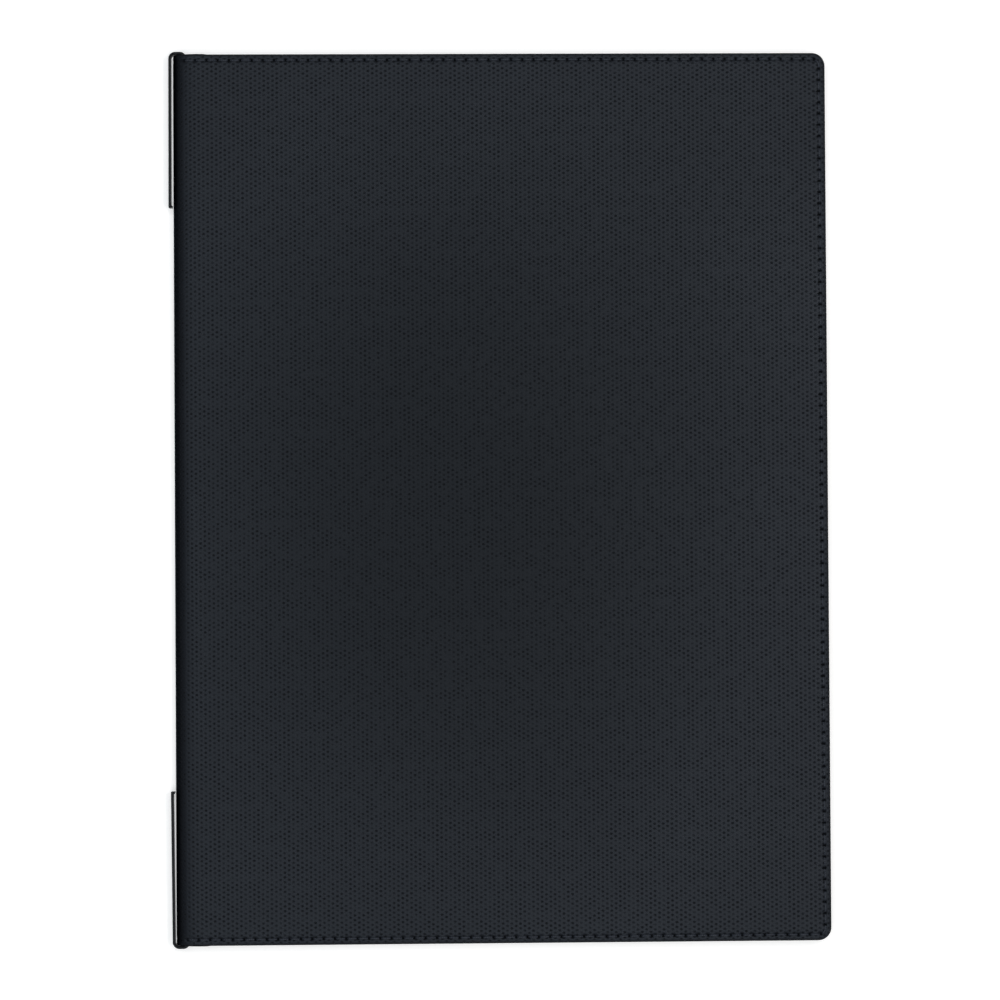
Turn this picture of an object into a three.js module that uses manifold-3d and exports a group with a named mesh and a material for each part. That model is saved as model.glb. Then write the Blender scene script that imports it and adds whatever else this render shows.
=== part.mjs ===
// Menu cover for A4 sheets, lying closed on its back.
//
// Two stiff covers hang on one soft spine. Each cover is a greyboard wrapped in an embossed skin, whose
// edges are turned in round the board and stitched, with a lining glued over the inside. Between the
// covers the skin and the lining run on without a board and roll round in a soft fold, half an ellipse in
// section. A springy strap runs down inside the fold, hooks over its head and its tail, and comes back
// along the outside as two short legs. Menu sheets are held in the fold by that strap.
//
// Millimetres, +Z up. X runs from the spine (-X) to the fore edge (+X), Y from the tail (-Y) to the head
// (+Y). The origin is the middle of the back cover's outer face.

import * as THREE from 'three';
import { mergeVertices } from 'three/addons/utils/BufferGeometryUtils.js';
import Module from 'manifold-3d';

// The closed cover.
const coverWidth = 250;
const coverHeight = 340;
const closedThickness = 8;
const cornerRadius = 5;
const spineCornerRadius = 1.5;

// Layers of a cover, from the outside in.
const skinThickness = 0.7;
const boardThickness = 1.4;
const liningThickness = 0.5;
const glueLine = 0.1;

// The turned and stitched edge.
const edgeRadius = 1.2;
const turnIn = 12;
const stitchInset = 2.4;
const stitchGrooveWidth = 1.2;
const stitchGrooveDepth = 0.2;
const liningInset = 1.6;
const liningRamp = 1.6;

// The soft fold at the spine.
const foldDepth = 10;
const foldSlit = 0.3;
const gutterWidth = 3.5;
const gutterRamp = 1.8;

// The strap that holds the sheets in the fold.
const strapThickness = 1.0;
const strapWidth = 3.0;
const strapRunDepth = 4.3;
const strapBendRadius = 1.6;
const strapEndGap = 0.3;
const legLength = 58.5;
const headLegGap = 0.65;
const tailLegGap = 0.35;
const legTipGap = 0.8;
const footLength = 0.9;
const footGap = 0.3;
const tableClearance = 0.1;

// Smoothness.
const cornerSteps = 10;
const edgeSteps = 5;
const foldSteps = 20;
const bendSteps = 8;

// Places worked out from the sizes above.
const spineX = -coverWidth / 2;
const foreX = coverWidth / 2;
const headY = coverHeight / 2;
const halfThickness = closedThickness / 2;
const foldEndX = spineX + foldDepth;
const boardStartX = foldEndX + gutterWidth;
const foldLiningZ = skinThickness + glueLine;
const boardBottomZ = skinThickness + glueLine;
const boardTopZ = boardBottomZ + boardThickness;
const hemBottomZ = boardTopZ + glueLine;
const hemTopZ = hemBottomZ + skinThickness;
const overlap = 0.2;
const beyond = 5;

const wasm = await Module();
wasm.setup();

function toSolid(geometry) {
  const bare = geometry.clone();
  bare.deleteAttribute('normal');
  bare.deleteAttribute('uv');
  const merged = mergeVertices(bare, 1e-5);
  return new wasm.Manifold(new wasm.Mesh({
    numProp: 3,
    vertProperties: new Float32Array(merged.attributes.position.array),
    triVerts: new Uint32Array(merged.index.array),
  }));
}

function toGeometry(solid) {
  const { vertProperties, triVerts } = solid.getMesh();
  const geometry = new THREE.BufferGeometry();
  geometry.setAttribute('position', new THREE.BufferAttribute(vertProperties, 3));
  geometry.setIndex(new THREE.BufferAttribute(triVerts, 1));
  geometry.computeVertexNormals();
  return geometry;
}

function box(x0, x1, y0, y1, z0, z1) {
  const geometry = new THREE.BoxGeometry(x1 - x0, y1 - y0, z1 - z0);
  geometry.translate((x0 + x1) / 2, (y0 + y1) / 2, (z0 + z1) / 2);
  return toSolid(geometry);
}

// The outline of a cover, moved in by inset on every side. The spine corners have their own radius.
function outline(inset, spineRadius = spineCornerRadius) {
  const right = foreX - inset;
  const left = spineX + inset;
  const top = headY - inset;
  const foreR = Math.max(cornerRadius - inset, 0.01);
  const spineR = Math.max(spineRadius - inset, 0.01);
  const corners = [
    [right - foreR, top - foreR, foreR, 0],
    [left + spineR, top - spineR, spineR, 1],
    [left + spineR, -top + spineR, spineR, 2],
    [right - foreR, -top + foreR, foreR, 3],
  ];
  return corners.flatMap(([cx, cy, r, quarter]) =>
    Array.from({ length: cornerSteps + 1 }, (_, i) => {
      const angle = (quarter + i / cornerSteps) * Math.PI / 2;
      return new THREE.Vector2(cx + r * Math.cos(angle), cy + r * Math.sin(angle));
    }));
}

// A closed body through rings of equal count, from the lowest cap to the highest.
function loft(rings) {
  const count = rings[0].length;
  const positions = rings.flat().flatMap((p) => [p.x, p.y, p.z]);
  const index = [];
  for (let ring = 0; ring < rings.length - 1; ring++) {
    for (let i = 0; i < count; i++) {
      const a = ring * count + i;
      const b = ring * count + (i + 1) % count;
      index.push(a, b, b + count, a, b + count, a + count);
    }
  }
  const cap = (ring) => THREE.ShapeUtils.triangulateShape(ring.map((p) => new THREE.Vector2(p.x, p.y)), []);
  const last = (rings.length - 1) * count;
  for (const [a, b, c] of cap(rings[0])) index.push(a, c, b);
  for (const [a, b, c] of cap(rings.at(-1))) index.push(a + last, b + last, c + last);
  const geometry = new THREE.BufferGeometry();
  geometry.setAttribute('position', new THREE.Float32BufferAttribute(positions, 3));
  geometry.setIndex(index);
  return geometry;
}

function prism(inset, z0, z1) {
  const shape = outline(inset);
  return toSolid(loft([z0, z1].map((z) => shape.map((p) => new THREE.Vector3(p.x, p.y, z)))));
}

// The wrapped cover as one slab: a stitch groove near the edge of its outer face, then the rounded edge.
function wrappedSlab() {
  const section = [
    [stitchInset + stitchGrooveWidth / 2, 0],
    [stitchInset, stitchGrooveDepth],
    [stitchInset - stitchGrooveWidth / 2, 0],
  ];
  const arc = (zCentre, from) => {
    for (let i = 0; i <= edgeSteps; i++) {
      const angle = (from + i / edgeSteps) * Math.PI / 2;
      section.push([edgeRadius * (1 - Math.cos(angle)), zCentre + edgeRadius * Math.sin(angle)]);
    }
  };
  arc(edgeRadius, -1);
  arc(hemTopZ - edgeRadius, 0);
  return toSolid(loft(section.map(([inset, z]) => outline(inset).map((p) => new THREE.Vector3(p.x, p.y, z)))));
}

// A point of the fold, for the half that joins the back cover. turn is 0 at the outermost line of the
// spine and a quarter turn where the flat cover begins, and inward is measured square to the outside.
function foldPoint(turn, inward) {
  const c = Math.cos(turn);
  const s = Math.sin(turn);
  const speed = foldSpeed(turn);
  return new THREE.Vector2(
    spineX + foldDepth * (1 - c) + inward * halfThickness * c / speed,
    halfThickness * (1 - s) + inward * foldDepth * s / speed,
  );
}

function foldSpeed(turn) {
  return Math.hypot(foldDepth * Math.sin(turn), halfThickness * Math.cos(turn));
}

// A layer of the fold between two turns, as long as the cover less inset at its head and tail. The skin's
// corners are rounded like the rest of the cover's outline.
function foldLayer(fromTurn, toTurn, inwardStart, inwardEnd, inset, lap) {
  const turns = Array.from({ length: foldSteps + 1 }, (_, i) => fromTurn + (toTurn - fromTurn) * i / foldSteps);
  const outer = turns.map((t) => foldPoint(t, inwardStart));
  const inner = turns.map((t) => foldPoint(t, inwardEnd));
  if (lap > 0) {
    outer.push(new THREE.Vector2(foldEndX + lap, inwardStart));
    inner.push(new THREE.Vector2(foldEndX + lap, inwardEnd));
  }
  const length = coverHeight - 2 * inset;
  const geometry = new THREE.ExtrudeGeometry(new THREE.Shape([...outer, ...inner.reverse()]), {
    depth: length, bevelEnabled: false, steps: 1,
  });
  geometry.rotateX(Math.PI / 2);
  geometry.translate(0, length / 2, 0);
  const layer = toSolid(geometry);
  return inset > 0 ? layer : layer.intersect(prism(0, -beyond, closedThickness + beyond));
}

// The two hinge lines. When the cover lies open the strap's legs are under the spine and lift it by
// openLift; the hinge then leaves the skin between the cover and the spine just its own length.
const openLift = strapThickness + legTipGap + tableClearance;
const quarterFold = (() => {
  const a = foldDepth;
  const b = halfThickness;
  return Math.PI * (3 * (a + b) - Math.sqrt((3 * a + b) * (a + 3 * b))) / 4;
})();
const openRun = Math.sqrt(quarterFold ** 2 - openLift ** 2);
const hingeSum = foldDepth + halfThickness - openRun;
const hingeX = spineX + (hingeSum - openLift) / 2;
const backHingeZ = (hingeSum + openLift) / 2;
const frontHingeZ = closedThickness - backHingeZ;

// The skin is slit along both hinge lines, at this turn of the fold.
const hingeTurn = Math.asin((halfThickness - backHingeZ) / halfThickness);
const slitTurn = foldSlit / 2 / foldSpeed(hingeTurn);

// The skin over the board: the outer face, the wrapped edges and the turned-in hems.
function coverSkin() {
  const boardPocket = prism(skinThickness, skinThickness, hemBottomZ);
  const hemWindow = box(spineX - beyond, foreX - turnIn, -headY + turnIn, headY - turnIn,
    skinThickness + glueLine, hemTopZ + beyond);
  const spineSide = box(spineX - beyond, boardStartX, -headY - beyond, headY + beyond,
    -beyond, hemTopZ + beyond);
  const skin = [boardPocket, hemWindow, spineSide]
    .reduce((solid, cut) => solid.subtract(cut), wrappedSlab());
  return toGeometry(skin);
}

// The soft strip of the skin beside the spine: one layer, flat along the board and rolled up to the slit.
function hingeSkin() {
  const gutter = box(foldEndX, boardStartX, -headY - beyond, headY + beyond, -beyond, skinThickness);
  const fold = foldLayer(hingeTurn + slitTurn, Math.PI / 2, 0, skinThickness, 0, overlap);
  return toGeometry(wrappedSlab().intersect(gutter).add(fold));
}

function coverBoard() {
  const inset = skinThickness + glueLine;
  const spineSide = box(spineX - beyond, boardStartX, -headY, headY, 0, hemTopZ);
  return toGeometry(prism(inset, boardBottomZ, boardTopZ).subtract(spineSide));
}

function ramp(value, from, to) {
  return THREE.MathUtils.clamp((value - from) / (to - from), 0, 1);
}

// How high the lining's glued face lies: low in the gutter, then on the board, then on the turned-in edge.
function liningZ(x, y) {
  const hemRise = hemTopZ + glueLine - hemBottomZ;
  const toHem = Math.max(
    ramp(Math.abs(y), headY - turnIn - glueLine - liningRamp, headY - turnIn - glueLine),
    ramp(x, foreX - turnIn - glueLine - liningRamp, foreX - turnIn - glueLine),
  );
  const onBoard = hemBottomZ + toHem * hemRise;
  const gutterEnd = boardStartX - glueLine;
  return THREE.MathUtils.lerp(foldLiningZ, onBoard, ramp(x, gutterEnd - gutterRamp, gutterEnd));
}

// A sheet over a grid of lines, whose lower face follows height and whose upper face lies thickness above.
function sheet(xs, ys, height, thickness) {
  const positions = [];
  for (const lift of [0, thickness]) {
    for (const y of ys) {
      for (const x of xs) positions.push(x, y, height(x, y) + lift);
    }
  }
  const nx = xs.length;
  const upper = nx * ys.length;
  const index = [];
  const quad = (a, b, c, d) => index.push(a, b, c, a, c, d);
  for (let j = 0; j < ys.length - 1; j++) {
    for (let i = 0; i < nx - 1; i++) {
      const a = j * nx + i;
      quad(a, a + nx, a + nx + 1, a + 1);
      quad(a + upper, a + upper + 1, a + upper + nx + 1, a + upper + nx);
    }
  }
  const rim = [
    ...xs.map((_, i) => i),
    ...ys.slice(1).map((_, j) => (j + 1) * nx + nx - 1),
    ...xs.slice(1).map((_, i) => ys.length * nx - 2 - i),
    ...ys.slice(2).map((_, j) => (ys.length - 2 - j) * nx),
  ];
  rim.forEach((a, i) => {
    const b = rim[(i + 1) % rim.length];
    quad(a, b, b + upper, a + upper);
  });
  const geometry = new THREE.BufferGeometry();
  geometry.setAttribute('position', new THREE.Float32BufferAttribute(positions, 3));
  geometry.setIndex(index);
  return toSolid(geometry);
}

function coverLining() {
  const gutterEnd = boardStartX - glueLine;
  const hemEdge = turnIn + glueLine;
  const xs = [foldEndX, gutterEnd - gutterRamp, gutterEnd, foreX - hemEdge - liningRamp, foreX - hemEdge, foreX];
  const up = [headY - hemEdge - liningRamp, headY - hemEdge, headY];
  const ys = [...up.map((y) => -y).reverse(), ...up];
  const flat = sheet(xs, ys, liningZ, liningThickness).intersect(prism(liningInset, -beyond, hemTopZ + beyond));
  const fold = foldLayer(hingeTurn + slitTurn, Math.PI / 2, foldLiningZ, foldLiningZ + liningThickness,
    liningInset, overlap);
  return toGeometry(flat.add(fold));
}

// The part of the fold between the two slits.
function spineLayer(inwardStart, inwardEnd, inset) {
  const half = (toTurn) => foldLayer(-overlap / halfThickness, toTurn, inwardStart, inwardEnd, inset, 0);
  const lower = half(hingeTurn - slitTurn);
  const upper = lower.mirror([0, 0, 1]).translate([0, 0, closedThickness]);
  return toGeometry(lower.add(upper));
}

// The strap seen from above. Its legs lean away from the spine towards their feet.
function strapShape() {
  const inside = spineX + strapRunDepth;
  const outside = inside + strapThickness;
  const bend = strapBendRadius;
  const wide = strapBendRadius + strapThickness;
  const under = headY + strapEndGap;
  const over = under + strapThickness;
  const tipY = headY - legLength;
  const tipX = spineX - legTipGap;
  const footX = spineX - footGap;
  const shape = new THREE.Shape();
  const headX = spineX - headLegGap;
  const tailX = spineX - tailLegGap;

  // Outside of the strap, from the head leg's foot over the head, down the run, to the tail leg's foot.
  shape.moveTo(tipX - strapThickness, tipY);
  shape.lineTo(headX - strapThickness, over - wide);
  shape.absarc(headX - strapThickness + wide, over - wide, wide, Math.PI, Math.PI / 2, true);
  shape.absarc(outside - wide, over - wide, wide, Math.PI / 2, 0, true);
  shape.absarc(outside - wide, -over + wide, wide, 0, -Math.PI / 2, true);
  shape.absarc(tailX - strapThickness + wide, -over + wide, wide, -Math.PI / 2, -Math.PI, true);
  shape.lineTo(tipX - strapThickness, -tipY);
  shape.lineTo(footX, -tipY);
  shape.lineTo(footX, -tipY - footLength);
  shape.lineTo(tipX, -tipY - footLength);

  // Inside of the strap, back up to the head leg's foot.
  shape.absarc(tailX + bend, -under + bend, bend, -Math.PI, -Math.PI / 2, false);
  shape.absarc(inside - bend, -under + bend, bend, -Math.PI / 2, 0, false);
  shape.absarc(inside - bend, under - bend, bend, 0, Math.PI / 2, false);
  shape.absarc(headX + bend, under - bend, bend, Math.PI / 2, Math.PI, false);
  shape.lineTo(tipX, tipY + footLength);
  shape.lineTo(footX, tipY + footLength);
  shape.lineTo(footX, tipY);
  return shape;
}

function strap() {
  const geometry = new THREE.ExtrudeGeometry(strapShape(), {
    depth: strapWidth, bevelEnabled: false, curveSegments: bendSteps,
  });
  geometry.translate(0, 0, halfThickness - strapWidth / 2);
  return geometry;
}

const skinMaterial = new THREE.MeshStandardMaterial({ color: 0x262a30, roughness: 0.55, metalness: 0 });
const boardMaterial = new THREE.MeshStandardMaterial({ color: 0x8f8a80, roughness: 0.95, metalness: 0 });
const liningMaterial = new THREE.MeshStandardMaterial({ color: 0x1b1c1f, roughness: 0.7, metalness: 0 });
const strapMaterial = new THREE.MeshStandardMaterial({ color: 0x121315, roughness: 0.35, metalness: 0 });

function piece(name, geometry, material) {
  const mesh = new THREE.Mesh(geometry, material);
  mesh.name = name;
  return mesh;
}

function cover(side) {
  const group = new THREE.Group();
  group.add(
    piece(`${side}_skin`, coverSkin(), skinMaterial),
    piece(`${side}_hinge_skin`, hingeSkin(), skinMaterial),
    piece(`${side}_board`, coverBoard(), boardMaterial),
    piece(`${side}_lining`, coverLining(), liningMaterial),
  );
  return group;
}

const menuCover = new THREE.Group();
const backCover = cover('back');

// The front cover is the same as the back one, turned over on to it.
const frontCover = cover('front');
frontCover.rotation.x = Math.PI;
frontCover.position.z = closedThickness;

const spine = new THREE.Group();
spine.add(
  piece('spine_skin', spineLayer(0, skinThickness, 0), skinMaterial),
  piece('spine_lining', spineLayer(foldLiningZ, foldLiningZ + liningThickness, liningInset), liningMaterial),
  piece('spine_strap', strap(), strapMaterial),
);

// The hinge lines run along Y at these places: the spine turns on the back one, the front cover on the other.
menuCover.userData.hinges = {
  spineFold: [hingeX, 0, backHingeZ],
  frontFold: [hingeX, 0, frontHingeZ],
};
menuCover.add(backCover, spine, frontCover);

export default menuCover;
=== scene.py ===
# %% [markdown]
# A menu cover, dressed for its portrait
#
# The solids of the cover are already there: two stiff covers, the soft spine between them, and a springy
# strap in the fold. This lesson gives them their real surface. The skin is embossed with thousands of
# small pits, its edges are turned in and stitched, and at the spine it rolls round from one cover to the
# other. Everything is in metres, in the same frame as the solids: X from the spine to the fore edge, Y
# from the tail to the head, Z up. The cover lies closed on its back.

# %% Load the solids
from math import pi, radians

import bmesh
import bpy
import numpy as np
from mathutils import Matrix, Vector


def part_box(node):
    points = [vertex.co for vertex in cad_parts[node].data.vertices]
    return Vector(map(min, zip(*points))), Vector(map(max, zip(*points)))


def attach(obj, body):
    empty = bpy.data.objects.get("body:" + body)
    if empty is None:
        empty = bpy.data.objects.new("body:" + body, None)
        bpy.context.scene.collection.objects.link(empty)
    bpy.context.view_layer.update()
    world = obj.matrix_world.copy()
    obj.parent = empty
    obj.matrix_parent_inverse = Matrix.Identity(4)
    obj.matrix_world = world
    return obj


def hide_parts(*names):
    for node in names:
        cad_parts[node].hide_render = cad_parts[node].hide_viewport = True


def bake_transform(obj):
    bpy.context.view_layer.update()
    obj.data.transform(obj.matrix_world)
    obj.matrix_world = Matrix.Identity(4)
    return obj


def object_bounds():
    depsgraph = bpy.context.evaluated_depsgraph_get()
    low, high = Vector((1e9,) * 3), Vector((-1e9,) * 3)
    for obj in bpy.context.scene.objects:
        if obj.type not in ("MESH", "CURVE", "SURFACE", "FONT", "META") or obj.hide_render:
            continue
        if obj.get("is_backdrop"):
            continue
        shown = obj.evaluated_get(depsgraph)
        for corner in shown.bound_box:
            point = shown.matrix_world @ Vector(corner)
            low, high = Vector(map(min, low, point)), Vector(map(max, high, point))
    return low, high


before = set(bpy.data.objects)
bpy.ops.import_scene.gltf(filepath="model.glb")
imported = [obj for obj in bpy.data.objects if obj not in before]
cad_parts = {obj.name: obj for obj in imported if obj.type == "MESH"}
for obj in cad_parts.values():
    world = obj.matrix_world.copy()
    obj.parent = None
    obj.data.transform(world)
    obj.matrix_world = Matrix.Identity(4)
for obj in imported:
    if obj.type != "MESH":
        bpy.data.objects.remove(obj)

cad_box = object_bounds()
print("solids:", ", ".join(sorted(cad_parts)))

# %% [markdown]
# Sizes come first. The outline and the thickness come from the solids, so that nothing has to be fitted
# afterwards: the closed cover's outline is the box of the back cover, widened to the spine. The layers,
# the stitches and the pits get the sizes of the real ones. The back and the front cover are alike, so
# each piece is made once, for the back cover, and turned over on to the front.
#
# A cover is easiest to make flat. So every skin and lining is modelled unrolled: u runs from the crown of
# the spine to the fore edge along the material, y along the spine, and z is the depth below the outer
# face. The last step rolls the first centimetre or so of u round the fold.

# %% Sizes
MM = 0.001
spine_low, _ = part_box("spine_skin")
_, back_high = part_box("back_skin")
_, front_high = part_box("front_skin")
spine_x = spine_low[0]
fore_x = back_high[0]
head_y = back_high[1]
closed_thickness = front_high[2]
panel_thickness = back_high[2]
half_thickness = closed_thickness / 2

fold_depth = 10 * MM
gutter_width = 3.5 * MM
skin_thickness = 0.7 * MM
lining_thickness = 0.4 * MM
corner_radius = 5 * MM
edge_reach = 1.2 * MM
fold_edge_thickness = 0.95 * MM
turn_in = 12 * MM

stitch_inset = 2.5 * MM
stitch_pitch = 4.3 * MM
first_stitch = 6.0 * MM

pit_column = 3.32 * MM
pit_row = 1.83 * MM
pit_depth = 0.16 * MM
closed_sizes = (fore_x - spine_x, 2 * head_y, closed_thickness)
print("closed cover:", " x ".join(f"{size / MM:.0f}" for size in closed_sizes), "mm")

# %% [markdown]
# The roll at the spine is half an ellipse in section. One quarter of it, from the crown to where the
# cover lies flat, belongs to the back cover's half and one to the front's. An ellipse has no simple
# formula for its length, so the length is added up in small steps once, and the table is read both ways.

# %% Rolling the flat skin round the fold
roll_steps = 400
turns = np.linspace(0, pi / 2, roll_steps)
steps = np.hypot(fold_depth * np.sin(turns), half_thickness * np.cos(turns))
lengths = np.concatenate([[0], np.cumsum((steps[1:] + steps[:-1]) / 2 * np.diff(turns))])
roll_length = lengths[-1]
full_width = roll_length + fore_x - spine_x - fold_depth


def rolled(flat):
    """Points of the unrolled skin (u, y, depth) brought round the fold, for the back cover."""
    u, y, depth = flat.T
    turn = np.interp(u, lengths, turns)
    c, s = np.cos(turn), np.sin(turn)
    speed = np.hypot(fold_depth * s, half_thickness * c)
    x = spine_x + fold_depth * (1 - c) + depth * half_thickness * c / speed
    z = half_thickness * (1 - s) + depth * fold_depth * s / speed
    beyond = np.maximum(u - roll_length, 0)
    return np.stack([x + beyond, y, z], axis=1)


print(f"the roll is {1000 * roll_length:.2f} mm long on each side of the crown")

# %% [markdown]
# Some small helpers keep the modelling cells short. An operator works on whatever is selected, so the
# first helper clears the selection before a new primitive is added. The others read a mesh's points as an
# array, write them back, and remember for each point where it lay on the unrolled skin. The finishes read
# that, so a pattern follows the skin round the roll and the edges without stretching.

# %% Helpers for meshes
merge_distance = 0.002 * MM


def start_clean():
    if bpy.context.object and bpy.context.object.mode != "OBJECT":
        bpy.ops.object.mode_set(mode="OBJECT")
    bpy.ops.object.select_all(action="DESELECT")


def named(name):
    piece = bpy.context.object
    piece.name = name
    piece.data.name = name
    return piece


def points(piece):
    flat = np.empty(len(piece.data.vertices) * 3)
    piece.data.vertices.foreach_get("co", flat)
    return flat.reshape(-1, 3)


def set_points(piece, where):
    piece.data.vertices.foreach_set("co", where.ravel())
    piece.data.update()


def note(piece, name, values):
    """Keeps a number or a place for each point, under a name that a finish can read."""
    kind, field = ("FLOAT_VECTOR", "vector") if values.ndim == 2 else ("FLOAT", "value")
    attribute = piece.data.attributes.get(name) or piece.data.attributes.new(name, kind, "POINT")
    attribute.data.foreach_set(field, values.astype(np.float32).ravel())


def edit(piece, select_mode):
    start_clean()
    bpy.context.view_layer.objects.active = piece
    piece.select_set(True)
    bpy.ops.object.mode_set(mode="EDIT")
    bpy.ops.mesh.select_mode(type=select_mode)
    bpy.ops.mesh.select_all(action="DESELECT")
    return bmesh.from_edit_mesh(piece.data)


def outward_normals(piece):
    edit(piece, "VERT")
    bpy.ops.mesh.select_all(action="SELECT")
    bpy.ops.mesh.remove_doubles(threshold=merge_distance)
    bpy.ops.mesh.normals_make_consistent(inside=False)
    start_clean()


def triangles(piece):
    return sum(len(face.vertices) - 2 for face in piece.data.polygons)


def turned_over(piece, name):
    """A copy of a back cover's piece, turned over on to the front cover."""
    copy = piece.copy()
    copy.data = piece.data.copy()
    copy.name = name
    copy.data.name = name
    bpy.context.scene.collection.objects.link(copy)
    where = points(copy)
    where[:, 1] *= -1
    where[:, 2] = closed_thickness - where[:, 2]
    set_points(copy, where)
    return copy


# %% [markdown]
# The stitched edge is measured from the outline. For a rectangle with round corners the trick is to take
# an inner rectangle that lies one corner radius inside: each point's nearest place on it gives the
# direction outwards, and the distance to it gives how far inside the outline the point lies.
#
# The stitch row runs along the head, round the corner, down the fore edge and back along the tail. One
# function gives a point's place along that row, and the other goes back from a place along the row to a
# point of the skin.

# %% Measuring from the outline
core_u = full_width - corner_radius
core_y = head_y - corner_radius
row_radius = corner_radius - stitch_inset
corner_run = pi / 2 * row_radius
row_length = 2 * core_u + 2 * corner_run + 2 * core_y
stitch_count = round((row_length - 2 * first_stitch) / stitch_pitch)
pitch = (row_length - 2 * first_stitch) / stitch_count
not_zero = 1e-9


def outward(u, y):
    """The nearest place on the inner rectangle, and the direction and distance from there."""
    near_u = np.minimum(u, core_u)
    near_y = np.clip(y, -core_y, core_y)
    away = np.maximum(np.hypot(u - near_u, y - near_y), not_zero)
    return near_u, near_y, (u - near_u) / away, (y - near_y) / away, away


def along_row(u, y):
    """How far along the stitch row a point lies, from the head of the spine round to its tail."""
    _, _, out_u, out_y, _ = outward(u, y)
    angle = np.arctan2(out_u, out_y)
    head = np.minimum(u, core_u)
    side = core_y - np.clip(y, -core_y, core_y)
    bend = np.clip(angle, 0, pi) * row_radius
    return np.where(out_y >= 0, head + bend + side, 0) + np.where(
        out_y < 0, 2 * core_u - head + bend + side, 0)


def on_row(s, inwards):
    """The point of the unrolled skin at a place along the stitch row, moved inwards from it."""
    radius = row_radius - inwards
    first_bend = np.clip((s - core_u) / row_radius, 0, pi / 2)
    down = np.clip(s - core_u - corner_run, 0, 2 * core_y)
    second_bend = np.clip((s - core_u - corner_run - 2 * core_y) / row_radius, 0, pi / 2)
    angle = first_bend + second_bend
    back = np.maximum(s - core_u - 2 * corner_run - 2 * core_y, 0)
    u = np.minimum(s, core_u) - back + radius * np.sin(angle)
    return u, core_y - down + radius * np.cos(angle)


print(f"{stitch_count} stitches of {1000 * pitch:.2f} mm round three sides of each cover")

# %% [markdown]
# The skin is a sheet of leathercloth, pressed by a roller into a close pattern of pits. They stand in
# columns, and every other column is moved half a step. A plain grid whose every second point is pushed in
# gives just this pattern, with very few faces for each pit: the grid's lines are half a pit's spacing
# apart, and the pushed points are those of one colour on a chessboard.
#
# A denser mesh could give each pit a round rim, but the two covers have more than fifty thousand of them.
# So the mesh holds the relief, and the finish rounds each pit with a bump.

# %% The embossed sheet, flat
sheet_width = full_width - edge_reach
sheet_height = 2 * (head_y - edge_reach)
columns = round(sheet_width / (pit_column / 2))
rows = round(sheet_height / (pit_row / 2))
column_step = sheet_width / columns
row_step = sheet_height / rows

start_clean()
bpy.ops.mesh.primitive_grid_add(x_subdivisions=columns, y_subdivisions=rows, size=1)
back_wrap = named("back_wrap")
where = points(back_wrap)
where[:, 0] = (where[:, 0] + 0.5) * sheet_width
where[:, 1] *= sheet_height
set_points(back_wrap, where)

bm = edit(back_wrap, "VERT")
for v in bm.verts:
    column = round(v.co.x / column_step)
    row = round((v.co.y + sheet_height / 2) / row_step)
    inside = 0 < column < columns and 0 < row < rows
    v.select = inside and (column + row) % 2 == 0
pits = sum(v.select for v in bm.verts)
bpy.ops.transform.translate(value=(0, 0, pit_depth))
start_clean()
print(f"{pits} pits, {2000 * column_step:.2f} mm by {2000 * row_step:.2f} mm apart in their columns")

# %% [markdown]
# The fore corners are round. The grid's square corner is drawn in to a quarter circle: each point in the
# corner square slides towards the middle of the circle until square rings have become round ones.
#
# Along the stitch row the thread pulls the skin down into a shallow channel, and deeper at every needle
# hole. The grid is too coarse for that, so the faces along the row are divided first. Points on the inner
# rectangle have no distance to it and are left out.

# %% Round corners, and the channel with its needle holes
channel_depth = 0.10 * MM
channel_width = 0.7 * MM
hole_depth = 0.45 * MM
hole_radius = 0.70 * MM
divided_band = 1.1 * MM
row_cuts = 2
on_core = 1e-6

where = points(back_wrap)
near_u, near_y, _, _, _ = outward(where[:, 0], where[:, 1])
du, dy = where[:, 0] - near_u, where[:, 1] - near_y
longest = np.maximum(np.abs(du), np.abs(dy))
shrink = np.where(longest > 0, longest / np.maximum(np.hypot(du, dy), not_zero), 1)
where[:, 0] = near_u + du * shrink
where[:, 1] = near_y + dy * shrink
set_points(back_wrap, where)

bm = edit(back_wrap, "FACE")
for face in bm.faces:
    middle = face.calc_center_median()
    reach = outward(np.array([middle.x]), np.array([middle.y]))[4][0]
    from_row = abs(corner_radius - reach - stitch_inset)
    face.select = bool(from_row < divided_band and reach > on_core)
bm.select_flush_mode()
bpy.ops.mesh.subdivide(number_cuts=row_cuts)
start_clean()

where = points(back_wrap)
u, y = where[:, 0], where[:, 1]
reach = outward(u, y)[4]
across = corner_radius - reach - stitch_inset
s = along_row(u, y)
stitched = (s > first_stitch - pitch / 2) & (s < row_length - first_stitch + pitch / 2)
from_hole = (s - first_stitch + pitch / 2) % pitch - pitch / 2
needle = np.exp(-(across ** 2 + from_hole ** 2) / hole_radius ** 2) * stitched * (reach > on_core)
channel = np.exp(-(across / channel_width) ** 2) * (reach > on_core)
where[:, 2] += channel_depth * channel + hole_depth * needle
set_points(back_wrap, where)
note(back_wrap, "needle", needle)
note(back_wrap, "unrolled", where * [1, 1, 0])
print(f"{np.count_nonzero(needle > 0.5)} points lie in needle holes")

# %% [markdown]
# Now the edges are turned in. The sheet's border is extruded again and again, and each new ring is set to
# its place in the section: round the edge of the cover, 12 mm back along the inside, over the turned-in
# skin's raw edge, and back under it to the border. Between the two layers of skin lies the greyboard.
# Beside the board the cover is as thick as its layers, and in the fold, where there is no board, the edge
# is thin. Rings keep one point for each of the border's, so the head's points still face the tail's at
# the end, and the inner face is bridged between them.

# %% The turned-in edge
edge_turns = 6
gap_for_glue = 0.06 * MM
board_u = roll_length + gutter_width
edge_ramp = 0.6 * gutter_width
slack = 0.01 * MM


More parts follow.
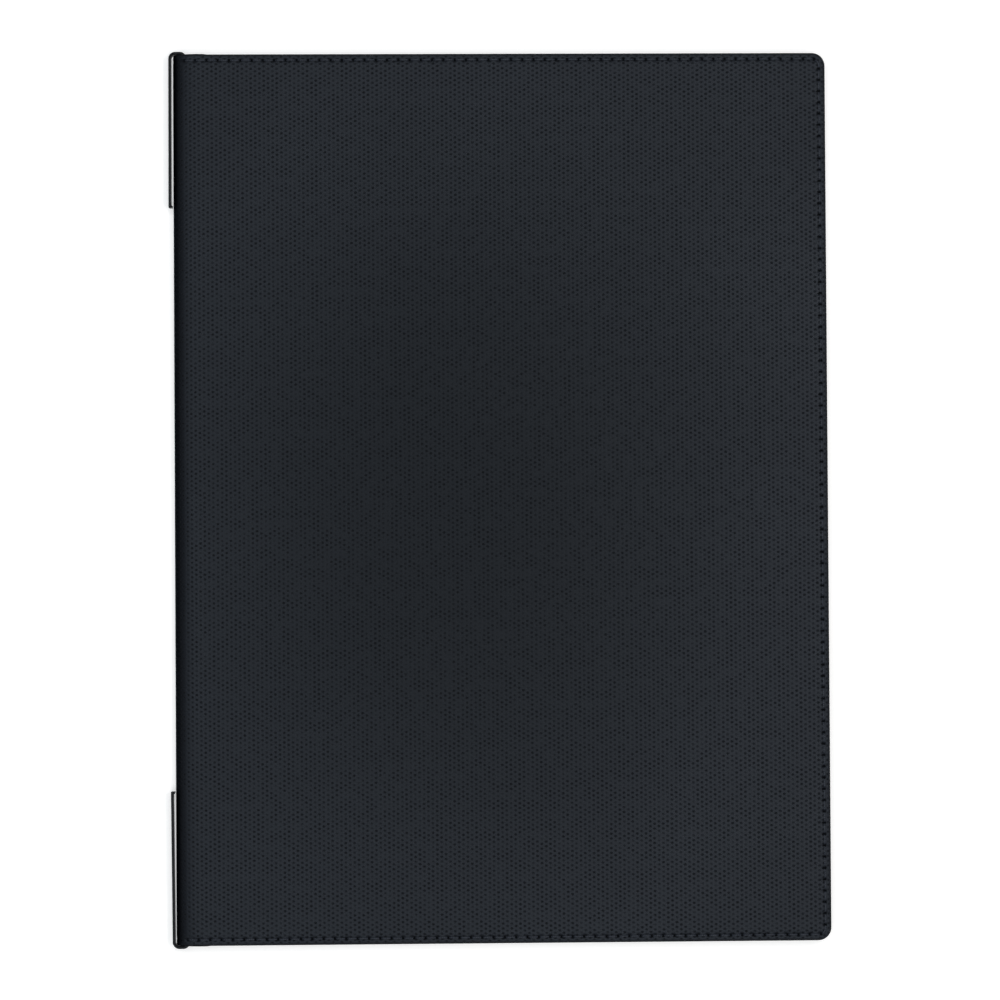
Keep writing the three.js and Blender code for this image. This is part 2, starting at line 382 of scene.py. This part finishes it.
def smooth_rise(value, start, end):
    """0 up to the start, 1 from the end on, and a soft step between them."""
    t = np.clip((value - start) / (end - start), 0, 1)
    return t * t * (3 - 2 * t)


def edge_thickness(u):
    """The whole thickness of the edge: thin in the fold, as thick as the cover where the board begins."""
    rise = smooth_rise(u, board_u - edge_ramp, board_u)
    return fold_edge_thickness + (panel_thickness - fold_edge_thickness) * rise


def layer(u):
    """The thickness of one layer of skin, so that two of them fit in the edge."""
    return np.minimum(skin_thickness, (edge_thickness(u) - gap_for_glue) / 2)


def ring_places(border, inset, depth):
    """The border's points moved to one ring of the section. Deep inside, the corners are square."""
    u, y = border[:, 0], border[:, 1]
    if inset <= corner_radius:
        near_u, near_y, out_u, out_y, _ = outward(u, y)
        u = near_u + out_u * (corner_radius - inset)
        y = near_y + out_y * (corner_radius - inset)
    else:
        u = np.minimum(u, full_width - inset)
        y = np.clip(y, inset - head_y, head_y - inset)
    return np.stack([u, y, depth], axis=1)


bm = edit(back_wrap, "EDGE")
number = bm.verts.layers.int.new("number")
for edge in bm.edges:
    crown = all(v.co.x < slack for v in edge.verts)
    edge.select = edge.is_boundary and not crown
bm.select_flush_mode()
first_ring = [v for v in bm.verts if v.select]
for i, v in enumerate(first_ring):
    v[number] = i
border = np.array([v.co[:] for v in first_ring])
bmesh.update_edit_mesh(back_wrap.data)
thick = edge_thickness(border[:, 0])
one_layer = layer(border[:, 0])

rings = []
for k in range(1, edge_turns + 1):
    angle = pi * k / edge_turns
    ring = ring_places(border, edge_reach * (1 - np.sin(angle)), thick / 2 * (1 - np.cos(angle)))
    rings.append((ring, edge_reach * angle))
inner_reach = edge_reach * pi + turn_in
pocket = skin_thickness + gap_for_glue
rings.append((ring_places(border, turn_in, thick), inner_reach))
rings.append((ring_places(border, turn_in, thick - one_layer), inner_reach))
rings.append((ring_places(border, pocket, thick - one_layer), edge_reach * pi))
rings.append((ring_places(border, pocket, one_layer), edge_reach))

_, _, out_u, out_y, _ = outward(border[:, 0], border[:, 1])
for ring, reach in rings:
    bpy.ops.mesh.extrude_region_move()
    bm = bmesh.from_edit_mesh(back_wrap.data)
    number = bm.verts.layers.int["number"]
    unrolled = bm.verts.layers.float_vector["unrolled"]
    for v in bm.verts:
        if v.select:
            i = v[number]
            v.co = ring[i]
            v[unrolled] = (border[i, 0] + out_u[i] * reach, border[i, 1] + out_y[i] * reach, 0)
bmesh.update_edit_mesh(back_wrap.data)
start_clean()
print(f"{len(rings)} rings of {len(border)} points turn the edge in")

# %% [markdown]
# The inner face is bridged from the last ring's head run to its tail run, one long strip for each grid
# line, so that it can roll round the fold like the outer face. What is left open is the strip along the
# fore edge and the cut section at the crown. Both are flat, so one face fills each.

# %% Closing the skin
fore_strip = core_u - pit_column


def select_open_edges(wanted):
    """Selects the skin's open edges that pass a test of their two ends, and nothing else."""
    bpy.ops.mesh.select_all(action="DESELECT")
    bm = bmesh.from_edit_mesh(back_wrap.data)
    for edge in bm.edges:
        edge.select = edge.is_boundary and wanted(*(v.co for v in edge.verts))
    bm.select_flush_mode()


def on_head_or_tail_run(a, b):
    at_crown = a.x < slack and b.x < slack
    return abs(a.y - b.y) < slack and not at_crown and abs(a.y + b.y) / 2 > core_y


edit(back_wrap, "EDGE")
select_open_edges(on_head_or_tail_run)
bpy.ops.mesh.bridge_edge_loops()
select_open_edges(lambda a, b: a.x > fore_strip and b.x > fore_strip)
bpy.ops.mesh.edge_face_add()
select_open_edges(lambda a, b: True)
bpy.ops.mesh.edge_face_add()
outward_normals(back_wrap)
bm = bmesh.new()
bm.from_mesh(back_wrap.data)
open_edges = sum(not edge.is_manifold for edge in bm.edges)
volume = bm.calc_volume()
bm.free()
print(f"back_wrap: {triangles(back_wrap)} triangles, {open_edges} open edges, {volume * 1e6:.1f} cm3")

# %% [markdown]
# The skin is flat and whole. Rolling its spine end round the fold makes the back cover's half, and a copy
# turned over makes the front's. The two halves meet at the crown of the spine.
#
# When the cover opens, the skin has to bend between the cover and the spine. Here each half has its place
# baked into its points, and is shaded smooth.

# %% Both wraps
set_points(back_wrap, rolled(points(back_wrap)))
front_wrap = turned_over(back_wrap, "front_wrap")


def bends(back_piece, front_piece):
    """Bakes each piece's place into its points and shades it smooth."""
    for piece, cover, flip in ((back_piece, "back_cover", False), (front_piece, "front_cover", True)):
        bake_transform(piece)
        piece.data.polygons.foreach_set("use_smooth", [True] * len(piece.data.polygons))


bends(back_wrap, front_wrap)
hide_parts("back_skin", "back_hinge_skin", "spine_skin")
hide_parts("front_skin", "front_hinge_skin", "spine_skin")
print("back_wrap and front_wrap meet at x =", round(1000 * min(points(front_wrap)[:, 0]), 2), "mm")

# %% [markdown]
# The lining is glued over the inside: across the fold, up on to the board, and up once more on to the
# turned-in edge. It starts as a flat plane. Its fore corners are rounded with a vertex bevel, then it is
# cut along every line where its height changes, and across the fold in small strips so that it can roll.
# Its points are lifted to their height, and it gets its thickness last.

# %% The lining
lining_inset = 1.6 * MM
fold_lining_depth = 1.0 * MM
board_top = 2.3 * MM
hem_top = 3.1 * MM
hem_ramp = 1.6 * MM
board_ramp = 0.7 * gutter_width
roll_strips = 24
gutter_strips = 7
ramp_strips = 3
corner_steps = 8
lining_crease = radians(40)

start_clean()
bpy.ops.mesh.primitive_plane_add(size=1)
back_inside = named("back_inside")
where = points(back_inside)
where[:, 0] = (where[:, 0] + 0.5) * (full_width - lining_inset)
where[:, 1] *= 2 * (head_y - lining_inset)
set_points(back_inside, where)
bm = edit(back_inside, "VERT")
for v in bm.verts:
    v.select = bool(v.co.x > core_u)
bpy.ops.mesh.bevel(affect="VERTICES", offset=corner_radius - lining_inset, segments=corner_steps)

hem_u = full_width - turn_in
hem_y = head_y - turn_in
down_ramp = [k * hem_ramp / ramp_strips for k in range(ramp_strips + 1)]
u_cuts = list(np.linspace(0, roll_length, roll_strips + 1)[1:])
u_cuts += list(np.linspace(roll_length, board_u, gutter_strips + 1)[1:])
u_cuts += [hem_u - down for down in down_ramp]
y_cuts = [side * (hem_y - down) for down in down_ramp for side in (1, -1)]
cuts = [((u, 0, 0), (1, 0, 0)) for u in u_cuts] + [((0, y, 0), (0, 1, 0)) for y in y_cuts]
for place, normal in cuts:
    bpy.ops.mesh.select_all(action="SELECT")
    bpy.ops.mesh.bisect(plane_co=place, plane_no=normal)
start_clean()

where = points(back_inside)
u, y = where[:, 0], where[:, 1]
on_board = smooth_rise(u, board_u - board_ramp, board_u)
on_hem = np.maximum(smooth_rise(u, hem_u - hem_ramp, hem_u),
                    smooth_rise(np.abs(y), hem_y - hem_ramp, hem_y))
height = board_top + on_hem * (hem_top - board_top)
where[:, 2] = fold_lining_depth + on_board * (height - fold_lining_depth)
set_points(back_inside, where)
note(back_inside, "unrolled", where * [1, 1, 0])
solidify = back_inside.modifiers.new("thickness", "SOLIDIFY")
solidify.thickness = lining_thickness
solidify.offset = 1
bpy.context.view_layer.objects.active = back_inside
bpy.ops.object.modifier_apply(modifier="thickness")
set_points(back_inside, rolled(points(back_inside)))
outward_normals(back_inside)
front_inside = turned_over(back_inside, "front_inside")
bends(back_inside, front_inside)
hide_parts("back_lining", "spine_lining")
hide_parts("front_lining", "spine_lining")
for lining in (back_inside, front_inside):
    bpy.context.view_layer.objects.active = lining
    lining.select_set(True)
    bpy.ops.object.shade_smooth_by_angle(angle=lining_crease)
    start_clean()
top = points(back_inside)[:, 2].max()
print(f"back_inside: {triangles(back_inside)} triangles, up to {1000 * top:.1f} mm high")

# %% [markdown]
# One stitch is a short piece of thread that comes out of its hole, lies on the skin and goes down into
# the next hole. It starts as a cylinder lying along the row, is cut into slices, and each slice is set to
# its height and thickness on the arch. An array repeats it for the whole row, and the same functions
# that measured the row bend the straight chain of stitches round the corners and over the fold. A second
# row, seen from inside, lies on the lining.

# %% The stitching
thread_radius = 0.26 * MM
thread_sides = 8
thread_slices = 7
thread_sunk = 0.06 * MM
dive = 0.4 * MM
slimmer_at_ends = 0.3
pulled_flat = 0.8
stitch_share = 0.84

start_clean()
bpy.ops.mesh.primitive_cylinder_add(vertices=thread_sides, radius=thread_radius, depth=pitch,
                                    rotation=(0, pi / 2, 0))
back_stitching = named("back_stitching")
bpy.ops.object.transform_apply(location=False, rotation=True, scale=True)
edit(back_stitching, "VERT")
for k in range(1, thread_slices):
    bpy.ops.mesh.select_all(action="SELECT")
    bpy.ops.mesh.bisect(plane_co=(pitch * (k / thread_slices - 0.5), 0, 0), plane_no=(1, 0, 0))
start_clean()
where = points(back_stitching)
note(back_stitching, "strand", where)
near_hole = np.abs(where[:, 0] / (pitch / 2)) ** 3
slim = 1 - slimmer_at_ends * near_hole
where[:, 0] *= stitch_share
where[:, 1] *= slim
where[:, 2] *= slim * pulled_flat
where[:, 2] += thread_sunk + dive * near_hole
set_points(back_stitching, where)
array = back_stitching.modifiers.new("row", "ARRAY")
array.count = stitch_count
array.use_relative_offset = False
array.use_constant_offset = True
array.constant_offset_displace = (pitch, 0, 0)
bpy.context.view_layer.objects.active = back_stitching
bpy.ops.object.modifier_apply(modifier="row")


def inner_surface(u):
    """The depth of the lining's face over the turned-in edge."""
    rise = smooth_rise(u, board_u - board_ramp, board_u)
    fold_face = fold_lining_depth + lining_thickness
    return fold_face + rise * (hem_top + lining_thickness - fold_face)


bpy.ops.object.mode_set(mode="EDIT")
bpy.ops.mesh.select_all(action="SELECT")
bpy.ops.mesh.duplicate()
bpy.ops.object.mode_set(mode="OBJECT")
where = points(back_stitching)
inner = np.arange(len(where)) >= len(where) // 2
s = where[:, 0] + first_stitch + pitch / 2
u, y = on_row(s, where[:, 1])
depth = np.where(inner, inner_surface(u) - where[:, 2], where[:, 2] + 0.5 * channel_depth)
set_points(back_stitching, rolled(np.stack([u, y, depth], axis=1)))
outward_normals(back_stitching)
front_stitching = turned_over(back_stitching, "front_stitching")
bends(back_stitching, front_stitching)
print(f"back_stitching: {triangles(back_stitching)} triangles")

# %% [markdown]
# The strap's solid already has the right path: down the inside of the fold, round the head and the tail,
# and back along the outside as two short legs. Only its edges are too sharp. A copy of it is merged,
# its flat faces are joined again, and every sharp edge gets a bevel. The rounded edge is what catches
# the thin grey line of light along the legs.

# %% The strap
strap_bevel = 0.36 * MM
bevel_steps = 4
same_plane = radians(2)
sharp_edge = radians(35)
strap_crease = radians(50)
strap_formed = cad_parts["spine_strap"].copy()
strap_formed.data = strap_formed.data.copy()
strap_formed.parent = None
for key in list(strap_formed.keys()):
    del strap_formed[key]
strap_formed.name = "strap_formed"
strap_formed.data.name = "strap_formed"
bpy.context.scene.collection.objects.link(strap_formed)
edit(strap_formed, "EDGE")
bpy.ops.mesh.select_all(action="SELECT")
bpy.ops.mesh.remove_doubles(threshold=merge_distance)
bpy.ops.mesh.dissolve_limited(angle_limit=same_plane)
bpy.ops.mesh.select_all(action="DESELECT")
bpy.ops.mesh.edges_select_sharp(sharpness=sharp_edge)
bpy.ops.mesh.bevel(offset=strap_bevel, segments=bevel_steps, clamp_overlap=True)
bpy.ops.mesh.select_all(action="SELECT")
bpy.ops.mesh.normals_make_consistent(inside=False)
start_clean()
strap_formed.select_set(True)
bpy.context.view_layer.objects.active = strap_formed
bpy.ops.object.shade_smooth_by_angle(angle=strap_crease)
start_clean()
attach(strap_formed, "spine")
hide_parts("spine_strap")
print(f"strap_formed: {triangles(strap_formed)} triangles")

# %% [markdown]
# Finishes are graphs of shader nodes, and a graph is easier to read as sums. Value wraps the output of a
# node, so that it can be added, subtracted, multiplied or divided like a number. Graph makes any node from
# its type, its settings and what feeds its sockets, and Finish is the graph of one material.

# %% Shader sums


class Value:
    """A node's output that can be used in sums."""

    def __init__(self, graph, socket):
        self.graph = graph
        self.socket = socket

    def math(self, operation, *others):
        inputs = dict(enumerate((self,) + others))
        return self.graph.node("Math", {"operation": operation}, inputs)

    def __add__(self, other):
        return self.math("ADD", other)

    def __mul__(self, other):
        return self.math("MULTIPLY", other)

    def __sub__(self, other):
        return self.math("SUBTRACT", other)

    def __rsub__(self, other):
        return self.graph.node("Math", {"operation": "SUBTRACT"}, {0: other, 1: self})

    def __truediv__(self, other):
        return self.math("DIVIDE", other)

    __radd__ = __add__
    __rmul__ = __mul__


class Graph:
    """The nodes of a material or of the world."""

    def __init__(self, tree):
        self.tree = tree

    def node(self, kind, settings=None, inputs=None, output=0):
        node = self.tree.nodes.new("ShaderNode" + kind)
        for key, value in (settings or {}).items():
            setattr(node, key, value)
        for socket, value in (inputs or {}).items():
            self.feed(node.inputs[socket], value)
        return Value(self, node.outputs[output])

    def feed(self, socket, value):
        if isinstance(value, Value):
            self.tree.links.new(value.socket, socket)
        else:
            socket.default_value = value

    def mix(self, factor, first, second):
        """A colour between two others. Sockets 0, 6 and 7 are the node's colour sockets."""
        return self.node("Mix", {"data_type": "RGBA"}, {0: factor, 6: first, 7: second}, output=2)

    def parts_of(self, place):
        split = self.tree.nodes.new("ShaderNodeSeparateXYZ")
        self.feed(split.inputs[0], place)
        return [Value(self, socket) for socket in split.outputs]

    def noise(self, place, scale, detail=2.0):
        return self.node("TexNoise", inputs={"Vector": place, "Scale": scale, "Detail": detail})

    def ramp(self, value, low, high, to_low=0.0, to_high=1.0):
        """A value read between two marks and given back, smoothly, between two others."""
        return self.node("MapRange", {"interpolation_type": "SMOOTHSTEP"}, {
            "Value": value, "From Min": low, "From Max": high, "To Min": to_low, "To Max": to_high})

    def bump(self, height, depth, under=None):
        inputs = {"Height": height, "Distance": depth, "Strength": 1.0}
        if under:
            inputs["Normal"] = under
        return self.node("Bump", inputs=inputs)


class Finish(Graph):
    """One material: a principled shader with its constants, and the nodes that feed it."""

    def __init__(self, name, **constants):
        self.material = bpy.data.materials.new(name)
        self.material.use_nodes = True
        super().__init__(self.material.node_tree)
        self.surface = self.tree.nodes["Principled BSDF"]
        self.set(**constants)

    def set(self, **sockets):
        for name, value in sockets.items():
            self.feed(self.surface.inputs[name.replace("_", " ")], value)

    def place(self, attribute=None):
        """Where a point of the surface lies: in the object's frame, or in an attribute."""
        if attribute:
            return self.node("Attribute", {"attribute_name": attribute}, output="Vector")
        return self.node("TexCoord", output="Object")

    def on(self, *pieces):
        for piece in pieces:
            piece.data.materials.clear()
            piece.data.materials.append(self.material)
        print(f"{self.material.name}: {len(self.tree.nodes)} nodes")


# %% [markdown]
# The embossed skin is a matt, nearly black leathercloth with a cold blue cast. What the eye reads as its
# grey is mostly soft light from above, caught by the coated surface; the sides of each pit turn away from
# it and look black, and the colour in each pit is painted darker as well, as painted shade. The pattern is
# worked out from the unrolled place, in step with the pits of the mesh: two sets of cells, the second
# moved half a cell both ways, and the distance to the nearer centre. Each pit is a little longer across
# the cover than along it. No two are pressed quite alike, so a noise changes how deep each one looks.
#
# Three more things change the plain colour, all of them painted shade. The needle holes are painted dark.
# The turned edges and the crown of the spine, where the skin turns away from the lamps, are painted
# darker, and they are duller too. At the crown the mask also goes to Metallic: a black metal mirrors
# almost nothing that it faces, so the crown loses the coat's sheen. And the middle of each cover is
# painted a little darker than its rim.

# %% Embossed skin
pit_radius = 0.62 * MM
pit_floor = 0.12 * MM
pit_stretch = 0.7
pit_dullness = 0.32
pressed_depth = 0.17 * MM
grain_depth = 0.03 * MM
uneven_scale = 260.0
cloud_scale = 14.0
grain_scale = 2600.0
skin_finish = Finish("embossed_skin", Specular_IOR_Level=0.19, Specular_Tint=(0.80, 0.89, 1.0, 1))
unrolled = skin_finish.place("unrolled")
u, y, _ = skin_finish.parts_of(unrolled)
cell_u = 2 * column_step
cell_y = 2 * row_step
to_pit = []
for shift in (0.0, 0.5):
    across = (u / cell_u + shift).math("WRAP", 0.5, -0.5) * cell_u
    along = ((y + sheet_height / 2) / cell_y + shift).math("WRAP", 0.5, -0.5) * cell_y
    to_pit.append((across * across * pit_stretch + along * along).math("SQRT"))
nearest = to_pit[0].math("MINIMUM", to_pit[1])
uneven = skin_finish.ramp(skin_finish.noise(unrolled, uneven_scale, detail=1.0), 0.32, 0.66, 0.45, 1.0)
pit = skin_finish.ramp(nearest, pit_floor, pit_radius, 1.0, 0.0) * uneven
needle_hole = skin_finish.ramp(
    skin_finish.node("Attribute", {"attribute_name": "needle"}, output="Fac"), 0.2, 0.6)

rim_start = sheet_height / 2 + 0.3 * MM
rim_end = sheet_height / 2 + 1.0 * MM
from_fore_rim = u - (sheet_width - sheet_height / 2)
# The turned edges are painted darker, as painted shade where the skin turns down away from the lamps; the
# same mask makes them duller.
shaded_dull_rim = skin_finish.ramp(y.math("ABSOLUTE").math("MAXIMUM", from_fore_rim), rim_start, rim_end)
crown_start = 1.0 * MM
crown_end = 7.0 * MM
dulled_roughness = 0.9
# Over the crown of the spine the colour is painted darker, as painted shade where the roll turns away from
# the lamps. The same mask makes it duller and, through Metallic, takes its sheen away.
shaded_dull_crown = skin_finish.ramp(u, crown_start, crown_end, 1.0, 0.0)
shaded_and_dull = shaded_dull_rim.math("MAXIMUM", shaded_dull_crown)
# The middle of each cover is painted darker than its rim, as painted shade.
shaded_middle_u = 0.44 * sheet_width
off_u = (u - shaded_middle_u) / (sheet_width / 2)
off_y = y / (sheet_height / 2)
painted_middle_shade = skin_finish.ramp((off_u * off_u + off_y * off_y).math("SQRT"), 0.2, 1.1, 1.0, 0.0)

cloud = skin_finish.noise(unrolled, cloud_scale, detail=3.0)
grain = skin_finish.noise(unrolled, grain_scale)
dye_and_shade = skin_finish.mix(cloud, (0.0052, 0.0068, 0.0106, 1), (0.0078, 0.0092, 0.0126, 1))
# Painted shade: the middle of the cover is painted darker.
dye_and_shade = skin_finish.mix(painted_middle_shade, dye_and_shade, (0.0003, 0.0010, 0.0026, 1))
# Painted shade: the pits, the needle holes, the turned edges and the crown of the spine are painted nearly
# black.
dark = pit.math("MAXIMUM", needle_hole).math("MAXIMUM", shaded_and_dull)
dye_and_shade = skin_finish.mix(dark, dye_and_shade, (0.0003, 0.0005, 0.0010, 1))
dullness = skin_finish.ramp(cloud, 0.3, 0.7, 0.43, 0.48) + pit * pit_dullness
dullness = dullness.math("MAXIMUM", needle_hole).math("MAXIMUM", shaded_and_dull * dulled_roughness)
pressed = skin_finish.bump(1 - pit, pressed_depth)
skin_finish.set(
    Base_Color=dye_and_shade, Roughness=dullness, Metallic=shaded_dull_crown,
    Normal=skin_finish.bump(grain, grain_depth, under=pressed))
skin_finish.on(back_wrap, front_wrap)

# %% [markdown]
# The thread is twisted polyester, a little bluer than the skin. Its twist is a wave that winds round the
# strand: the place along the thread plus the angle round it.

# %% Thread
twist_pitch = 1.0 * MM
twist_depth = 0.04 * MM
thread_finish = Finish("stitching_thread", Roughness=0.45, Specular_IOR_Level=0.25)
run, side, up = thread_finish.parts_of(thread_finish.place("strand"))
twist = (run * (2 * pi / twist_pitch) + side.math("ARCTAN2", up)).math("SINE") * 0.5 + 0.5
thread_finish.set(
    Base_Color=thread_finish.mix(twist, (0.010, 0.014, 0.022, 1), (0.026, 0.032, 0.045, 1)),
    Normal=thread_finish.bump(twist, twist_depth))
thread_finish.on(back_stitching, front_stitching)

# %% [markdown]
# The lining is a plain woven bookcloth, seen only when the cover is open: two sets of fine ribs that
# cross, and some unevenness in the yarn. Thicker yarns run as faint streaks along the cover and across
# it, and the glue leaves broad, soft clouds.

# %% Lining cloth
weave_pitch = 0.55 * MM
weave_depth = 0.08 * MM
yarn_scale = 900.0
streak_scale = 700.0
streak_stretch = 0.02
glue_scale = 25.0
shares = {"weave": 0.3, "yarn": 0.2, "streaks": 0.22, "glue": 0.5}
lining_finish = Finish("lining_cloth", Specular_IOR_Level=0.3)
unrolled = lining_finish.place("unrolled")
u, y, _ = lining_finish.parts_of(unrolled)
warp = (u * (2 * pi / weave_pitch)).math("SINE")
weft = (y * (2 * pi / weave_pitch)).math("SINE")
weave = warp * weft * 0.5 + 0.5
yarn = lining_finish.noise(unrolled, yarn_scale, detail=3.0)
streaks = []
for scale in ((1.0, streak_stretch, 1.0), (streak_stretch, 1.0, 1.0)):
    drawn = lining_finish.node("Mapping", inputs={"Vector": unrolled, "Scale": scale})
    streaks.append(lining_finish.ramp(lining_finish.noise(drawn, streak_scale), 0.35, 0.75))
glue = lining_finish.noise(unrolled, glue_scale, detail=3.0)
tone = weave * shares["weave"] + yarn * shares["yarn"]
tone = tone + (streaks[0] + streaks[1]) * shares["streaks"] + (glue - 0.5) * shares["glue"]
lining_finish.set(
    Base_Color=lining_finish.mix(tone, (0.005, 0.0055, 0.007, 1), (0.034, 0.035, 0.039, 1)),
    Roughness=lining_finish.ramp(yarn, 0.2, 0.8, 0.68, 0.85),
    Normal=lining_finish.bump(weave + yarn * 0.3, weave_depth))
lining_finish.on(back_inside, front_inside)

# %% [markdown]
# The boards are raw greyboard, pressed from waste paper: grey-brown, with pale and dark flecks. They are
# sealed in, but they get their finish all the same. The strap is black sprung plastic, smooth on its
# rounded edges, with faint drag marks.

# %% Greyboard and strap
pulp_scale = 120.0
pulp_depth = 0.05 * MM
fleck_scale = 900.0
board_finish = Finish("greyboard", Roughness=0.9)
place = board_finish.place()
pulp = board_finish.noise(place, pulp_scale, detail=4.0)
fleck = board_finish.ramp(board_finish.noise(place, fleck_scale, detail=1.0), 0.62, 0.7)
greys = board_finish.mix(pulp, (0.22, 0.20, 0.17, 1), (0.34, 0.31, 0.27, 1))
board_finish.set(
    Base_Color=board_finish.mix(fleck * 0.5, greys, (0.08, 0.07, 0.07, 1)),
    Normal=board_finish.bump(pulp, pulp_depth))
board_finish.on(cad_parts["back_board"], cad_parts["front_board"])

mark_scale = 1800.0
mark_depth = 0.01 * MM
mark_stretch = (1.0, 0.05, 1.0)
strap_finish = Finish("strap_plastic", Specular_IOR_Level=0.12, Specular_Tint=(0.86, 0.92, 1.0, 1))
drag = strap_finish.node("Mapping", inputs={"Vector": strap_finish.place(), "Scale": mark_stretch})
marks = strap_finish.noise(drag, mark_scale, detail=3.0)
strap_finish.set(
    Base_Color=strap_finish.mix(marks, (0.001, 0.001, 0.0012, 1), (0.004, 0.004, 0.0045, 1)),
    Roughness=strap_finish.ramp(marks, 0.3, 0.7, 0.26, 0.36),
    Normal=strap_finish.bump(marks, mark_depth))
strap_finish.on(strap_formed)

# %% [markdown]
# The cover lies on a white table and is photographed from straight above. The table is white paint. It
# also glows a little, but only for what looks at it, so that it comes out white like the walls behind it
# and still keeps the shadow beside the cover. Further out, where the lamps don't reach, the glow is
# stronger, so that the table meets the walls without a line. None of that glow lights the cover: it is
# only seen, straight or in a reflection.
#
# The walls of the studio are white too, and only to look at. They fade out between 15 and 37 degrees
# above the table. The light itself is four soft lamps round the camera. A dark cover shows hardly any
# colour of its own: what it shows is these lamps, spread out by its matt surface. Where the spine rolls
# away from them it goes black, and so do the sides of the pits.

# %% Table, walls and lamps


def looked_at(graph):
    """1 for what the camera sees, straight, in a reflection or through something, otherwise 0."""
    straight, mirrored, through = [
        graph.node("LightPath", output=f"Is {ray} Ray") for ray in ("Camera", "Glossy", "Transmission")]
    return straight.math("MAXIMUM", mirrored).math("MAXIMUM", through)


near_glow = 0.42
far_glow = 1.0
lit_reach = 0.3
dark_reach = 1.3
table_drop = 0.12 * MM
table_size = 6
start_clean()
bpy.ops.mesh.primitive_plane_add(size=table_size, location=(0, 0, -table_drop))
table = named("table")
bpy.ops.object.transform_apply(location=True)
paint = Finish("table_paint", Base_Color=(0.82, 0.82, 0.82, 1), Roughness=0.8, Specular_IOR_Level=0.1,
               Emission_Strength=1.0)
across, along, _ = paint.parts_of(paint.place())
from_middle = (across * across + along * along).math("SQRT")
glow = looked_at(paint) * paint.ramp(from_middle, lit_reach, dark_reach, near_glow, far_glow)
paint.set(Emission_Color=paint.mix(glow, (0, 0, 0, 1), (1, 1, 1, 1)))
paint.on(table)
table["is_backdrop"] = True

fill_light = 0.10
wall_low = 0.25
wall_high = 0.60
bpy.context.scene.world = bpy.data.worlds.new("studio")
bpy.context.scene.world.use_nodes = True
studio = Graph(bpy.context.scene.world.node_tree)
height = studio.parts_of(studio.node("TexCoord", output="Generated"))[2]
wall = studio.ramp(height, wall_low, wall_high, 1.0, 0.0) * looked_at(studio)
background = studio.tree.nodes["Background"]
background.inputs["Color"].default_value = (1, 1, 1, 1)
studio.feed(background.inputs["Strength"], wall * (1 - fill_light) + fill_light)

lamp_height = 1.05
lamp_reach = 0.47
# Each lamp's place in X and Y, its watts, its width and depth, and its colour.
lamps = {
    "left_lamp": (-lamp_reach, 0, 3.9, 0.35, 0.9, (0.94, 0.98, 1.0)),
    "right_lamp": (lamp_reach, 0, 5.4, 0.35, 0.9, (1.0, 0.98, 0.96)),
    "head_lamp": (0, lamp_reach, 2.4, 0.5, 0.3, (0.97, 0.99, 1.0)),
    "tail_lamp": (0, -lamp_reach, 2.3, 0.5, 0.3, (0.97, 0.99, 1.0)),
}
for name, (x, y, power, width, depth, colour) in lamps.items():
    light = bpy.data.lights.new(name, "AREA")
    light.shape = "RECTANGLE"
    light.size = width
    light.size_y = depth
    light.energy = power
    light.color = colour
    lamp = bpy.data.objects.new(name, light)
    lamp.location = (x, y, lamp_height)
    bpy.context.scene.collection.objects.link(lamp)
print("lamps:", ", ".join(lamps))

# %% [markdown]
# The camera looks straight down, as nearly as the photographer's did: its tilt of about a degree was
# worked out from the four corners of the cover in the picture.

# %% Camera
camera = bpy.data.objects.new("camera", bpy.data.cameras.new("camera"))
camera.data.lens = 85
camera.data.sensor_width = 36
camera.data.clip_start = 0.01
camera.location = (-0.01721, -0.01334, 0.90870)
camera.rotation_euler = (radians(0.789), radians(-1.0435), radians(-0.350))
bpy.context.scene.collection.objects.link(camera)
bpy.context.scene.camera = camera
bpy.context.scene.view_settings.view_transform = "Standard"

# %% [markdown]
# Last, the sizes. The dressed cover should fill the same box as the solids that it stands for, so both
# boxes are printed.

# %% Sizes, and the end
dressed_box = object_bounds()
boxes = {"cad": [list(corner) for corner in cad_box], "visual": [list(corner) for corner in dressed_box]}
for name, (low, high) in boxes.items():
    print(name, "box:", " x ".join(f"{1000 * (b - a):.1f}" for a, b in zip(low, high)), "mm")
